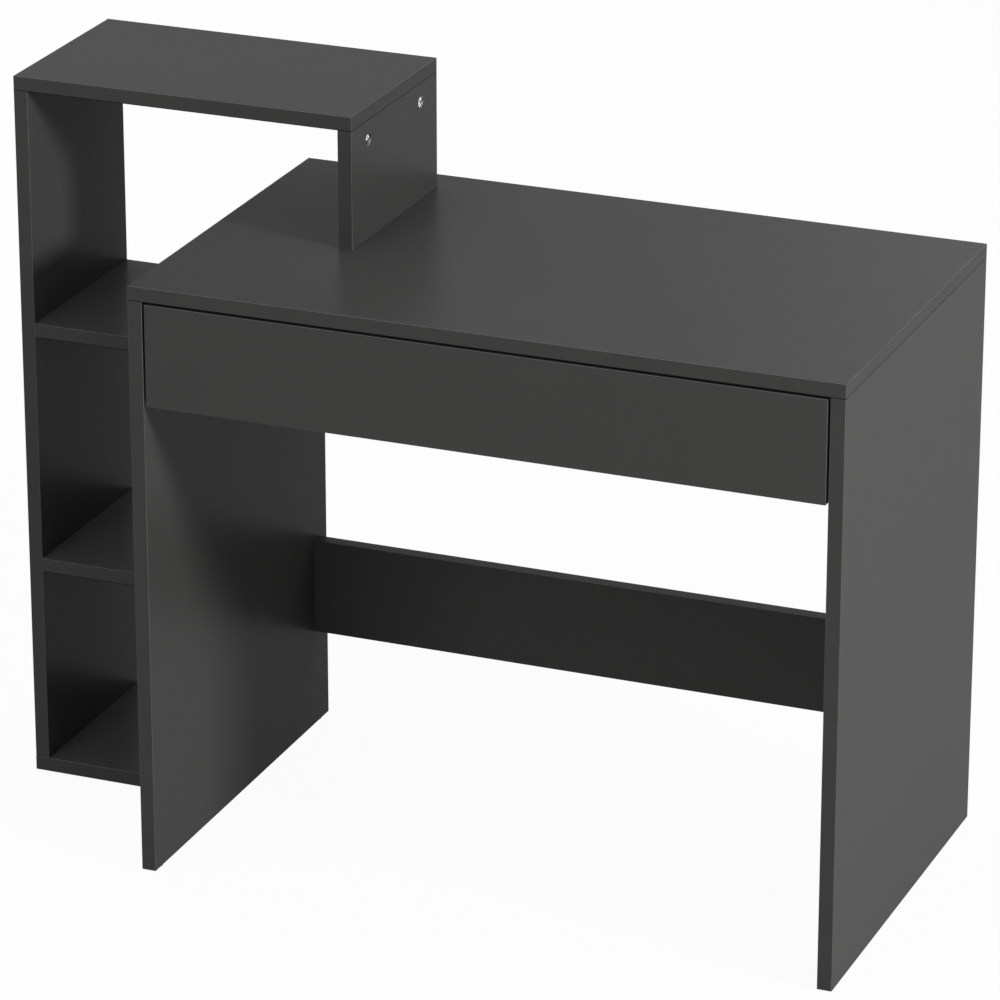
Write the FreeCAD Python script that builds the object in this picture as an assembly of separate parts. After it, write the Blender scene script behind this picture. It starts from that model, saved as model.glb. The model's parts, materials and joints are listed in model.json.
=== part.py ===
# Computer desk with a side bookcase, a bridging top shelf and one full-width drawer.
#
# Flat-pack furniture: melamine-faced boards with plastic edge bands, held by cam locks, dowels and board
# screws, and a drawer on two ball-bearing slides. Millimetres. The origin is on the floor under the middle
# of the whole desk, +X is to the user's right, the front faces -Y and +Z is up.

import FreeCAD, Part
import os
from FreeCAD import Vector

# Boards
BOARD = 18.0                    # thickness of every carcass board
BAND = 1.0                      # thickness of the plastic edge bands
ARRIS = 0.6                     # rounding of the bands' outer edges

# Desk
DESK_WIDTH = 880.0
DESK_DEPTH = 520.0
DESK_HEIGHT = 750.0             # floor to the top of the desktop
STRETCHER_HEIGHT = 125.0
STRETCHER_CLEAR = 130.0         # floor to the stretcher's lower edge
STRETCHER_INSET = 22.0          # from the rear edge of the desk's sides

# Bookcase and top shelf
BOOKCASE_WIDTH = 250.0          # from the tall side's outer face to the desk's left side
BOOKCASE_DEPTH = 260.0
BOOKCASE_SETBACK = 215.0        # from the desk's front to the bookcase's front
BOTTOM_CLEAR = 253.0            # height of the bottom compartment
MIDDLE_CLEAR = 291.0            # height of the middle compartment
UPRIGHT_HEIGHT = 146.0          # from the desktop to the underside of the top shelf
UPRIGHT_REACH = 192.0           # from the desk's left face to the upright's right face

# Feet
GLIDE_HEIGHT = 3.0
GLIDE_RADIUS = 7.5
GLIDE_EASE = 1.0                # rounding round the foot of a glide
GLIDE_INSET = 22.0              # from a board's front or rear edge to a glide's centre
NAIL_RADIUS = 1.1
NAIL_LENGTH = 12.0

# Drawer
FRONT_HEIGHT = 126.0
FRONT_GAP = 3.0                 # gap round the drawer front
GRIP = 15.0                     # how far the front hangs below the box, as a finger grip
BOX_HEIGHT = 90.0
BOX_TAIL = 1.0                  # of a drawer side, left behind its rails
BOX_BOARD = 12.0
BOX_EASE = 1.5                  # rounding of the box's upper edges
BOTTOM_BOARD = 3.0
BOTTOM_RISE = 8.0               # from the box's lower edge to the bottom board
GROOVE_DEPTH = 6.0
GROOVE_PLAY = 0.3               # room round the bottom board in its grooves

# Drawer slides
SLIDE_GAP = 12.7                # between a desk side and the drawer box
SLIDE_LENGTH = 400.0
SLIDE_TRAVEL = 290.0
SLIDE_START = 4.0               # from the back of the drawer front to the rails
RAIL_HEIGHT = 35.0
RAIL_SHEET = 1.2
RAIL_LIP = 4.5                  # how far a rail's lip turns in
RAIL_BEND = 0.9                 # outer radius of the rails' bends
RAIL_CLEARANCE = 0.8            # between the outer rail's lips and the drawer box
RUNNING = 0.3                   # between sliding pieces
BALL_RADIUS = 2.5
BALL_PLAY = 0.15                # above and below a ball
CAGE_SHEET = 0.8
CAGE_RIM = 0.5                  # sheet left beside a ball
CAGE_END = 2.0                  # from the cage's ends to the rails' ends when the drawer is out
BALLS_IN_ROW = 5
BUMPER_LENGTH = 7.5
BUMPER_HEIGHT = 18.0

# Cam locks: a bolt screwed into one board, gripped by a nut set in the face of the other
CAM_RADIUS = 7.5
CAM_REACH = 24.0                # from the joint to the centre of the cam nut
CAM_LANDING = 4.5               # board left behind a cam nut in a carcass board
BOX_CAM_LANDING = 2.0           # and in a drawer side
CAM_EASE = 0.5                  # bevel round the nut's face
CAM_SLOT = 1.3                  # width of the screwdriver cross in a cam nut
CAM_CROSS = 7.0                 # length of that cross
CAM_CROSS_DEPTH = 1.6
BOLT_RADIUS = 3.0
BOLT_NECK_RADIUS = 1.7
BOLT_HEAD_LENGTH = 2.5
BOLT_THREAD = 11.0              # length screwed into the other board
CAM_STAND_OFF = 0.8             # between the bolt's shoulder and the nut's rim

# Dowels
DOWEL_RADIUS = 4.0
BOX_DOWEL_RADIUS = 3.0
DOWEL_LENGTH = 30.0
DOWEL_IN_FACE = 11.0            # the part of a dowel's length in the other board's face
DOWEL_EASE = 0.8

# Screws
BOARD_SCREW_LENGTH = 50.0
BOARD_SCREW_RADIUS = 3.0
BOARD_SCREW_HEAD = 5.0
BOARD_SCREW_HEAD_DEPTH = 3.0
BOARD_SCREW_SOCKET = 4.0        # across the flats
BOX_SCREW_LENGTH = 40.0
BOX_SCREW_RADIUS = 2.0
BOX_SCREW_HEAD = 4.0
BOX_SCREW_HEAD_DEPTH = 2.4
BOTTOM_SCREW_LENGTH = 16.0
BOTTOM_SCREW_RADIUS = 1.5
BOTTOM_SCREW_HEAD = 3.0
BOTTOM_SCREW_HEAD_DEPTH = 1.6
BOTTOM_SCREWS = 5
RAIL_SCREW_RADIUS = 1.9
RAIL_SCREW_HEAD = 3.6
RAIL_SCREW_CROWN = 2.9          # radius of the flat on that head
RAIL_SCREW_HEAD_HEIGHT = 1.6
OUTER_SCREW_LENGTH = 14.0
INNER_SCREW_LENGTH = 10.0
RAIL_SCREW_INSET = 35.0         # from a rail's end to its first and last screw
CROSS_WIDTH = 0.9               # screwdriver cross of the small screws
CROSS_SHARE = 0.6               # depth of that cross, of the head's height

# Where fasteners lie along a joint, from each end of it
DESK_CAM_INSET = 60.0
DESK_DOWEL_INSET = 110.0
SHELF_CAM_INSET = 50.0
SHELF_DOWEL_INSET = 95.0
STRETCHER_CAM_INSET = 28.0
BOX_CAM_INSET = 20.0
BOX_SCREW_INSET = 17.0          # of the drawer back's screws, from its upper and lower edge

# Fits
FIT = 0.1                       # radial room of a fastener in its hole
TIP = 1.0                       # room beyond a fastener's end

# Places that follow from those sizes
LEFT = -(BOOKCASE_WIDTH + DESK_WIDTH) / 2
DESK_LEFT = LEFT + BOOKCASE_WIDTH
DESK_RIGHT = DESK_LEFT + DESK_WIDTH
DESK_FRONT = -DESK_DEPTH / 2
DESK_BACK = DESK_DEPTH / 2
INNER_LEFT = DESK_LEFT + BOARD
INNER_RIGHT = DESK_RIGHT - BOARD
DESKTOP_UNDER = DESK_HEIGHT - BOARD

CASE_FRONT = DESK_FRONT + BOOKCASE_SETBACK
CASE_BACK = CASE_FRONT + BOOKCASE_DEPTH
BASE_TOP = GLIDE_HEIGHT + BOARD
LOWER_SHELF_TOP = BASE_TOP + BOTTOM_CLEAR + BOARD
UPPER_SHELF_TOP = LOWER_SHELF_TOP + MIDDLE_CLEAR + BOARD
TOP_SHELF_UNDER = DESK_HEIGHT + UPRIGHT_HEIGHT
UPRIGHT_RIGHT = DESK_LEFT + UPRIGHT_REACH
STRETCHER_FRONT = DESK_BACK - STRETCHER_INSET - BOARD

FRONT_TOP = DESKTOP_UNDER - FRONT_GAP
FRONT_BOTTOM = FRONT_TOP - FRONT_HEIGHT
BOX_FRONT = DESK_FRONT + BOARD
BOX_BACK = BOX_FRONT + SLIDE_START + SLIDE_LENGTH + BOX_TAIL
BOX_LEFT = INNER_LEFT + SLIDE_GAP
BOX_RIGHT = INNER_RIGHT - SLIDE_GAP
BOX_UNDER = FRONT_BOTTOM + GRIP
BOX_TOP = BOX_UNDER + BOX_HEIGHT
BOTTOM_UNDER = BOX_UNDER + BOTTOM_RISE
BOTTOM_TOP = BOTTOM_UNDER + BOTTOM_BOARD
SLIDE_HEIGHT = BOX_UNDER + BOX_HEIGHT / 2
RAIL_FRONT = BOX_FRONT + SLIDE_START

X, Y, Z = Vector(1, 0, 0), Vector(0, 1, 0), Vector(0, 0, 1)
ORIGIN = Vector(0, 0, 0)
NEAR = 1e-6

boards = {}                     # the bare boards by node, before drilling
fittings = {}                   # lists of finished solids by node
drillings = {}                  # lists of cutting solids by board


def box(low, high):
    """A box between two opposite corners."""
    size = high - low
    return Part.makeBox(size.x, size.y, size.z, low)


def rod(start, direction, length, radius):
    """A round bar from a point along a direction."""
    return Part.makeCylinder(radius, length, start, direction)


def placed(shape, origin, along, up):
    """A copy of a shape drawn about the origin, with its X turned to along and its Z turned to up."""
    across = up.cross(along)
    copy = shape.copy()
    copy.Placement = FreeCAD.Placement(FreeCAD.Matrix(
        along.x, across.x, up.x, origin.x,
        along.y, across.y, up.y, origin.y,
        along.z, across.z, up.z, origin.z,
        0, 0, 0, 1))
    return copy


def turned(profile):
    """A round solid about the X axis, from its (x, radius) corners."""
    points = [Vector(x, 0, radius) for x, radius in profile]
    face = Part.Face(Part.makePolygon(points + points[:1]))
    return face.revolve(ORIGIN, X, 360)


def beside(direction):
    """An axis square to a direction, to set a round fastener upright with."""
    return Z if abs(direction.z) < 0.5 else X


def add(node, solid):
    """Put a finished solid into a node."""
    fittings.setdefault(node, []).append(solid)


def drill(board, cutter):
    """Note a cut that a board gets once all its fasteners are known."""
    drillings.setdefault(board, []).append(cutter)


# Boards and edge bands

def eased(strip, axis, outer, with_ends):
    """An edge band with its outer arrises rounded, and its outer corners too where they stand free."""
    def on_outer_face(edge):
        return all(abs(getattr(vertex.Point, axis) - outer) < NEAR for vertex in edge.Vertexes)

    longest = max(edge.Length for edge in strip.Edges)
    arrises = [edge for edge in strip.Edges
               if on_outer_face(edge) and (with_ends or edge.Length > longest - NEAR)]
    return strip.makeFillet(ARRIS, arrises)


def lay_board(name, low, high, banded="", free_corners=False):
    """A board between two corners: a bare core, and a band on each edge named in banded, such as "y- y+".

    Bands named first run the whole edge, and later ones fit between them.
    """
    core_low, core_high = Vector(low), Vector(high)
    lengths = {axis: getattr(high - low, axis) for axis in "xyz"}
    for edge in banded.split():
        axis, side = edge
        band_low, band_high = Vector(core_low), Vector(core_high)
        if side == "-":
            outer = getattr(core_low, axis)
            setattr(band_high, axis, outer + BAND)
            setattr(core_low, axis, outer + BAND)
        else:
            outer = getattr(core_high, axis)
            setattr(band_low, axis, outer - BAND)
            setattr(core_high, axis, outer - BAND)
        whole = all(abs(getattr(band_high - band_low, other) - lengths[other]) < NEAR
                    for other in "xyz" if other != axis)
        add(name + "_edge_bands", eased(box(band_low, band_high), axis, outer, free_corners and whole))
    boards[name] = box(core_low, core_high)


def lay_carcass_boards():
    """The ten boards that stand still."""
    lay_board("desktop",
              Vector(DESK_LEFT, DESK_FRONT, DESKTOP_UNDER), Vector(DESK_RIGHT, DESK_BACK, DESK_HEIGHT),
              "y- y+ x- x+", free_corners=True)
    for name, left in (("desk_left_side", DESK_LEFT), ("desk_right_side", INNER_RIGHT)):
        lay_board(name,
                  Vector(left, DESK_FRONT, GLIDE_HEIGHT),
                  Vector(left + BOARD, DESK_BACK, DESKTOP_UNDER), "y- y+")
    lay_board("back_stretcher",
              Vector(INNER_LEFT, STRETCHER_FRONT, STRETCHER_CLEAR),
              Vector(INNER_RIGHT, STRETCHER_FRONT + BOARD, STRETCHER_CLEAR + STRETCHER_HEIGHT), "z- z+")
    lay_board("bookcase_base",
              Vector(LEFT, CASE_FRONT, GLIDE_HEIGHT), Vector(DESK_LEFT, CASE_BACK, BASE_TOP), "y- y+ x-")
    lay_board("bookcase_tall_side",
              Vector(LEFT, CASE_FRONT, BASE_TOP), Vector(LEFT + BOARD, CASE_BACK, TOP_SHELF_UNDER), "y- y+")
    for name, top in (("lower_shelf", LOWER_SHELF_TOP), ("upper_shelf", UPPER_SHELF_TOP)):
        lay_board(name,
                  Vector(LEFT + BOARD, CASE_FRONT, top - BOARD), Vector(DESK_LEFT, CASE_BACK, top), "y- y+")
    lay_board("top_shelf",
              Vector(LEFT, CASE_FRONT, TOP_SHELF_UNDER),
              Vector(UPRIGHT_RIGHT, CASE_BACK, TOP_SHELF_UNDER + BOARD), "y- y+ x- x+", free_corners=True)
    lay_board("top_shelf_upright",
              Vector(UPRIGHT_RIGHT - BOARD, CASE_FRONT, DESK_HEIGHT),
              Vector(UPRIGHT_RIGHT, CASE_BACK, TOP_SHELF_UNDER), "y- y+")


def long_top_edges(board):
    """The two long upper edges of a board that stands on edge."""
    longest = max(edge.Length for edge in board.Edges)
    return [edge for edge in board.Edges
            if edge.Length > longest - NEAR and abs(edge.CenterOfMass.z - board.BoundBox.ZMax) < NEAR]


def lay_drawer_boards():
    """The drawer front and the box behind it, with the grooves for the thin bottom board."""
    lay_board("drawer_front",
              Vector(INNER_LEFT + FRONT_GAP, DESK_FRONT, FRONT_BOTTOM),
              Vector(INNER_RIGHT - FRONT_GAP, BOX_FRONT, FRONT_TOP), "z- z+ x- x+", free_corners=True)
    lay_board("drawer_left_side",
              Vector(BOX_LEFT, BOX_FRONT, BOX_UNDER), Vector(BOX_LEFT + BOX_BOARD, BOX_BACK, BOX_TOP))
    lay_board("drawer_right_side",
              Vector(BOX_RIGHT - BOX_BOARD, BOX_FRONT, BOX_UNDER), Vector(BOX_RIGHT, BOX_BACK, BOX_TOP))
    lay_board("drawer_back",
              Vector(BOX_LEFT + BOX_BOARD, BOX_BACK - BOX_BOARD, BOTTOM_TOP),
              Vector(BOX_RIGHT - BOX_BOARD, BOX_BACK, BOX_TOP))

    for name in ("drawer_left_side", "drawer_right_side", "drawer_back"):
        boards[name] = boards[name].makeFillet(BOX_EASE, long_top_edges(boards[name]))

    into_groove = GROOVE_DEPTH - GROOVE_PLAY
    bottom_low = Vector(BOX_LEFT + BOX_BOARD - into_groove, BOX_FRONT - into_groove, BOTTOM_UNDER)
    bottom_high = Vector(BOX_RIGHT - BOX_BOARD + into_groove, BOX_BACK, BOTTOM_TOP)
    lay_board("drawer_bottom", bottom_low, bottom_high)
    play = Vector(GROOVE_PLAY, GROOVE_PLAY, GROOVE_PLAY)
    groove = box(bottom_low - play, bottom_high + play)
    for name in ("drawer_front", "drawer_left_side", "drawer_right_side"):
        drill(name, groove)


# Fasteners, each drawn about the origin with X along its shank

def cam_nut(face, depth):
    """A die-cast cam nut on the bolt's axis X, its face at a height above that axis."""
    body = rod(Z * (face - depth), Z, depth, CAM_RADIUS)
    rims = [edge for edge in body.Edges
            if edge.Closed and abs(edge.CenterOfMass.z - face) < NEAR]
    body = body.makeChamfer(CAM_EASE, rims)
    neck_way = rod(ORIGIN, X, CAM_RADIUS + TIP, BOLT_NECK_RADIUS + RUNNING)
    head_room = rod(X * -(BOLT_HEAD_LENGTH / 2 + RUNNING), X,
                    BOLT_HEAD_LENGTH + 2 * RUNNING, BOLT_RADIUS + RUNNING)
    cross = []
    for along, across in ((CAM_CROSS, CAM_SLOT), (CAM_SLOT, CAM_CROSS)):
        half = Vector(along / 2, across / 2, 0)
        cross.append(box(Z * (face - CAM_CROSS_DEPTH) - half, Z * (face + TIP) + half))
    return body.cut([neck_way, head_room] + cross)


def cam_bolt():
    """A cam bolt: its thread ahead of the joint at x = 0, its head back at the cam nut's centre."""
    shoulder = CAM_RADIUS + CAM_STAND_OFF - CAM_REACH
    head_front = BOLT_HEAD_LENGTH / 2 - CAM_REACH
    head_back = -BOLT_HEAD_LENGTH / 2 - CAM_REACH
    return turned([(head_back, 0), (head_back, BOLT_RADIUS), (head_front, BOLT_RADIUS),
                   (head_front, BOLT_NECK_RADIUS), (shoulder, BOLT_NECK_RADIUS), (shoulder, BOLT_RADIUS),
                   (BOLT_THREAD, BOLT_RADIUS), (BOLT_THREAD, 0)])


def dowel(radius):
    """A wooden dowel with bevelled ends. It lies across the joint at x = 0, its short part ahead of it."""
    tail = DOWEL_IN_FACE - DOWEL_LENGTH
    return turned([(tail, 0), (tail, radius - DOWEL_EASE), (tail + DOWEL_EASE, radius),
                   (DOWEL_IN_FACE - DOWEL_EASE, radius), (DOWEL_IN_FACE, radius - DOWEL_EASE),
                   (DOWEL_IN_FACE, 0)])


def countersunk_blank(length, radius, head, head_depth):
    """A countersunk screw with no recess yet, from its flush face at x = 0."""
    return turned([(0, 0), (0, head), (head_depth, radius), (length, radius), (length, 0)])


def countersunk_hole(length, radius, head, head_depth):
    """The hole for such a screw, open behind its head."""
    return turned([(-TIP, 0), (-TIP, head + FIT), (0, head + FIT), (head_depth, radius + FIT),
                   (length + TIP, radius + FIT), (length + TIP, 0)])


def hexagon_socket(across_flats, depth):
    """A hexagonal socket from x = 0 inwards."""
    corner = Vector(0, across_flats / 3 ** 0.5, 0)
    points = [FreeCAD.Rotation(X, 60 * turn).multVec(corner) for turn in range(7)]
    return Part.Face(Part.makePolygon(points)).extrude(X * depth)


def cross_recess(start, length, depth):
    """The two arms of a screwdriver cross from x = start inwards."""
    arms = []
    for wide, high in ((length, CROSS_WIDTH), (CROSS_WIDTH, length)):
        half = Vector(0, wide / 2, high / 2)
        arms.append(box(X * start - half, X * (start + depth) + half))
    return arms


def pan_screw(length):
    """A low-headed screw of a slide rail, its head behind x = 0."""
    back = -RAIL_SCREW_HEAD_HEIGHT
    screw = turned([(back, 0), (back, RAIL_SCREW_CROWN), (back / 2, RAIL_SCREW_HEAD), (0, RAIL_SCREW_HEAD),
                    (0, RAIL_SCREW_RADIUS), (length, RAIL_SCREW_RADIUS), (length, 0)])
    return screw.cut(cross_recess(back, RAIL_SCREW_HEAD, RAIL_SCREW_HEAD_HEIGHT * CROSS_SHARE))


# Joints between boards

def cam_joint(holder, receiver, seat, toward, out, nuts, bolts, thickness=BOARD, landing=CAM_LANDING):
    """One cam lock. Its bolt crosses the joint at seat, runs toward the receiver, and its nut faces out."""
    face = thickness / 2
    depth = thickness - landing
    centre = seat - toward * CAM_REACH
    add(nuts, placed(cam_nut(face, depth), centre, toward, out))
    add(bolts, placed(cam_bolt(), seat, toward, out))
    drill(holder, rod(centre + out * (face - depth - FIT), out, depth + FIT + TIP, CAM_RADIUS + FIT))
    drill(holder, rod(centre, toward, CAM_REACH + TIP, BOLT_RADIUS + FIT))
    drill(receiver, rod(seat - toward * TIP, toward, BOLT_THREAD + 2 * TIP, BOLT_RADIUS + FIT))


def dowel_joint(holder, receiver, seat, toward, node, radius=DOWEL_RADIUS):
    """One dowel across a joint, most of it in the holder's edge."""
    add(node, placed(dowel(radius), seat, toward, beside(toward)))
    drill(holder, rod(seat - toward * (DOWEL_LENGTH - DOWEL_IN_FACE + TIP), toward,
                      DOWEL_LENGTH - DOWEL_IN_FACE + 2 * TIP, radius + FIT))
    drill(receiver, rod(seat - toward * TIP, toward, DOWEL_IN_FACE + 2 * TIP, radius + FIT))


def screw_joint(first, second, start, toward, screw, hole, node):
    """One countersunk screw, flush with the first board's face at start and driven on into the second."""
    up = beside(toward)
    add(node, placed(screw, start, toward, up))
    for board in (first, second):
        drill(board, placed(hole, start, toward, up))


def both_ends(low, high, inset):
    """Two places along an edge, the same distance from each of its ends."""
    return low + inset, high - inset


def join_desktop():
    """Cam locks on the sides' inner faces and dowels between them, under the desktop."""
    for side, middle, out in (("desk_left_side", DESK_LEFT + BOARD / 2, X),
                              ("desk_right_side", DESK_RIGHT - BOARD / 2, -X)):
        for y in both_ends(DESK_FRONT, DESK_BACK, DESK_CAM_INSET):
            cam_joint(side, "desktop", Vector(middle, y, DESKTOP_UNDER), Z, out,
                      side + "_cam_nuts", "desktop_cam_bolts")
        for y in both_ends(DESK_FRONT, DESK_BACK, DESK_DOWEL_INSET):
            dowel_joint(side, "desktop", Vector(middle, y, DESKTOP_UNDER), Z, "carcass_dowels")


def join_stretcher():
    """Two cam locks and a dowel at each end of the stretcher, its nuts on the rear face."""
    middle = STRETCHER_FRONT + BOARD / 2
    low, high = STRETCHER_CLEAR, STRETCHER_CLEAR + STRETCHER_HEIGHT
    for side, end, toward in (("desk_left_side", INNER_LEFT, -X), ("desk_right_side", INNER_RIGHT, X)):
        for z in both_ends(low, high, STRETCHER_CAM_INSET):
            cam_joint("back_stretcher", side, Vector(end, middle, z), toward, Y,
                      "stretcher_cam_nuts", "stretcher_cam_bolts")
        dowel_joint("back_stretcher", side, Vector(end, middle, (low + high) / 2), toward, "carcass_dowels")


def join_shelf(shelf, top, ends, nuts, bolts):
    """Cam locks under a shelf and dowels beside them, at each of the given ends."""
    middle = top - BOARD / 2
    for side, x, toward in ends:
        for y in both_ends(CASE_FRONT, CASE_BACK, SHELF_CAM_INSET):
            cam_joint(shelf, side, Vector(x, y, middle), toward, -Z, nuts, bolts)
        for y in both_ends(CASE_FRONT, CASE_BACK, SHELF_DOWEL_INSET):
            dowel_joint(shelf, side, Vector(x, y, middle), toward, "carcass_dowels")


def join_bookcase():
    """The two shelves between the tall side and the desk, and the base board against the desk."""
    tall_end = ("bookcase_tall_side", LEFT + BOARD, -X)
    desk_end = ("desk_left_side", DESK_LEFT, X)
    join_shelf("lower_shelf", LOWER_SHELF_TOP, (tall_end, desk_end), "shelf_cam_nuts", "shelf_cam_bolts")
    join_shelf("upper_shelf", UPPER_SHELF_TOP, (tall_end, desk_end), "shelf_cam_nuts", "shelf_cam_bolts")
    join_shelf("bookcase_base", BASE_TOP, (desk_end,), "base_cam_nuts", "base_cam_bolts")


def join_top_shelf():
    """Cam locks on the outer faces of the tall side and the upright, up into the top shelf."""
    for side, middle, out in (("bookcase_tall_side", LEFT + BOARD / 2, -X),
                              ("top_shelf_upright", UPRIGHT_RIGHT - BOARD / 2, X)):
        for y in both_ends(CASE_FRONT, CASE_BACK, SHELF_CAM_INSET):
            cam_joint(side, "top_shelf", Vector(middle, y, TOP_SHELF_UNDER), Z, out,
                      side + "_cam_nuts", "top_shelf_cam_bolts")
        for y in both_ends(CASE_FRONT, CASE_BACK, SHELF_DOWEL_INSET):
            dowel_joint(side, "top_shelf", Vector(middle, y, TOP_SHELF_UNDER), Z, "carcass_dowels")


def join_from_below():
    """Long screws up through the desktop into the upright and through the base into the tall side."""
    sizes = (BOARD_SCREW_LENGTH, BOARD_SCREW_RADIUS, BOARD_SCREW_HEAD, BOARD_SCREW_HEAD_DEPTH)
    screw = countersunk_blank(*sizes).cut(hexagon_socket(BOARD_SCREW_SOCKET, BOARD_SCREW_HEAD_DEPTH))
    for lower, upper, x, under, node in (
            ("desktop", "top_shelf_upright", UPRIGHT_RIGHT - BOARD / 2, DESKTOP_UNDER, "upright_screws"),
            ("bookcase_base", "bookcase_tall_side", LEFT + BOARD / 2, GLIDE_HEIGHT, "tall_side_screws")):
        for y in both_ends(CASE_FRONT, CASE_BACK, SHELF_CAM_INSET):
            screw_joint(lower, upper, Vector(x, y, under), Z, screw, countersunk_hole(*sizes), node)
        for y in both_ends(CASE_FRONT, CASE_BACK, SHELF_DOWEL_INSET):
            dowel_joint(upper, lower, Vector(x, y, under + BOARD), -Z, "carcass_dowels")


def fit_glides():
    """A nail-on glide near each foot, a small plastic button with a nail up into the board."""
    button = rod(ORIGIN, Z, GLIDE_HEIGHT, GLIDE_RADIUS)
    foot_rims = [edge for edge in button.Edges
                 if edge.Closed and abs(edge.CenterOfMass.z) < NEAR]
    nail = rod(Z * GLIDE_HEIGHT, Z, NAIL_LENGTH, NAIL_RADIUS)
    glide = button.makeFillet(GLIDE_EASE, foot_rims).fuse(nail)
    feet = (("desk_left_side", DESK_LEFT + BOARD / 2, DESK_FRONT, DESK_BACK, "desk_glides"),
            ("desk_right_side", DESK_RIGHT - BOARD / 2, DESK_FRONT, DESK_BACK, "desk_glides"),
            ("bookcase_base", LEFT + BOARD / 2, CASE_FRONT, CASE_BACK, "bookcase_glides"))
    for board, x, front, back, node in feet:
        for y in both_ends(front, back, GLIDE_INSET):
            add(node, placed(glide, Vector(x, y, 0), X, Z))
            drill(board, rod(Vector(x, y, 0), Z, GLIDE_HEIGHT + NAIL_LENGTH + TIP, NAIL_RADIUS + FIT))


# The drawer's own joints

def join_drawer():
    """Cam locks and a dowel between the front and each side, and screws through the sides into the back."""
    sizes = (BOX_SCREW_LENGTH, BOX_SCREW_RADIUS, BOX_SCREW_HEAD, BOX_SCREW_HEAD_DEPTH)
    screw = countersunk_blank(*sizes).cut(cross_recess(0, BOX_SCREW_HEAD, BOX_SCREW_HEAD_DEPTH * CROSS_SHARE))
    for side, face, out in (("drawer_left_side", BOX_LEFT, -X), ("drawer_right_side", BOX_RIGHT, X)):
        middle = face - out.x * BOX_BOARD / 2
        for z in both_ends(BOX_UNDER, BOX_TOP, BOX_CAM_INSET):
            cam_joint(side, "drawer_front", Vector(middle, BOX_FRONT, z), -Y, out,
                      "drawer_cam_nuts", "drawer_cam_bolts", BOX_BOARD, BOX_CAM_LANDING)
        dowel_joint(side, "drawer_front", Vector(middle, BOX_FRONT, SLIDE_HEIGHT), -Y,
                    "drawer_dowels", BOX_DOWEL_RADIUS)
        for z in both_ends(BOTTOM_TOP, BOX_TOP, BOX_SCREW_INSET):
            screw_joint(side, "drawer_back", Vector(face, BOX_BACK - BOX_BOARD / 2, z), -out,
                        screw, countersunk_hole(*sizes), "drawer_back_screws")


def screw_drawer_bottom():
    """Small screws up through the bottom board into the drawer back's lower edge."""
    sizes = (BOTTOM_SCREW_LENGTH, BOTTOM_SCREW_RADIUS, BOTTOM_SCREW_HEAD, BOTTOM_SCREW_HEAD_DEPTH)
    recess = cross_recess(0, BOTTOM_SCREW_HEAD, BOTTOM_SCREW_HEAD_DEPTH * CROSS_SHARE)
    screw = countersunk_blank(*sizes).cut(recess)
    pitch = (BOX_RIGHT - BOX_LEFT) / BOTTOM_SCREWS
    for index in range(BOTTOM_SCREWS):
        start = Vector(BOX_LEFT + pitch * (index + 0.5), BOX_BACK - BOX_BOARD / 2, BOTTOM_UNDER)
        screw_joint("drawer_bottom", "drawer_back", start, Z,
                    screw, countersunk_hole(*sizes), "drawer_bottom_screws")


# Drawer slides, drawn as sections: u runs from the desk side towards the drawer, w up from the slide's middle

LIP_INSIDE = SLIDE_GAP - RAIL_CLEARANCE - RAIL_SHEET
CAGE_END_U = LIP_INSIDE - RUNNING
BALL_U = CAGE_END_U - CAGE_RIM - FIT - BALL_RADIUS
CAGE_WEB_U = BALL_U - BALL_RADIUS - FIT - CAGE_SHEET
BALL_W = RAIL_HEIGHT / 2 - RAIL_SHEET - BALL_PLAY - BALL_RADIUS
INNER_HALF = BALL_W - BALL_RADIUS - BALL_PLAY
INNER_FLANGE_U = CAGE_WEB_U + CAGE_SHEET + RUNNING
INNER_LENGTH = SLIDE_LENGTH - BUMPER_LENGTH - RUNNING
CAGE_LENGTH = INNER_LENGTH - SLIDE_TRAVEL - 2 * CAGE_END
CAGE_FRONT = (INNER_LENGTH - CAGE_LENGTH) / 2


def along_rail(corners, front, length, bends=()):
    """A bar of the given section, in the slide's own frame, with bends rounded at some of its corners."""
    points = [Vector(u, front, w) for u, w in corners]
    bar = Part.Face(Part.makePolygon(points + points[:1])).extrude(Y * length)
    folds = [edge for edge in bar.Edges
             for u, w in bends
             if abs(edge.CenterOfMass.x - u) < NEAR and abs(edge.CenterOfMass.z - w) < NEAR
             and abs(edge.Length - length) < NEAR]
    return bar.makeFillet(RAIL_BEND, folds) if folds else bar


def channel(web, flange_end, half, sheet, lip=0.0):
    """Corners of a channel section: a web, two flanges from it, and a lip on each where one is given."""
    step = sheet if flange_end > web else -sheet
    corners = []
    for end in (-1, 1):
        outside, inside = end * half, end * (half - sheet)
        turn = [(web, outside), (flange_end, outside)]
        if lip:
            turn += [(flange_end, end * (half - lip)), (flange_end - step, end * (half - lip)),
                     (flange_end - step, inside)]
        else:
            turn += [(flange_end, inside)]
        turn += [(web + step, inside)]
        corners += turn if end < 0 else turn[::-1]
    return corners


def outer_rail():
    """The rail screwed to the desk's side, with lips that keep the balls in."""
    half = RAIL_HEIGHT / 2
    flange_end = SLIDE_GAP - RAIL_CLEARANCE
    bends = [(u, w) for u in (0, flange_end) for w in (-half, half)]
    return along_rail(channel(0, flange_end, half, RAIL_SHEET, RAIL_LIP), 0, SLIDE_LENGTH, bends)


def inner_rail():
    """The rail screwed to the drawer's side, running between the two rows of balls."""
    bends = [(SLIDE_GAP, w) for w in (-INNER_HALF, INNER_HALF)]
    return along_rail(channel(SLIDE_GAP, INNER_FLANGE_U, INNER_HALF, RAIL_SHEET), 0, INNER_LENGTH, bends)


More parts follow.
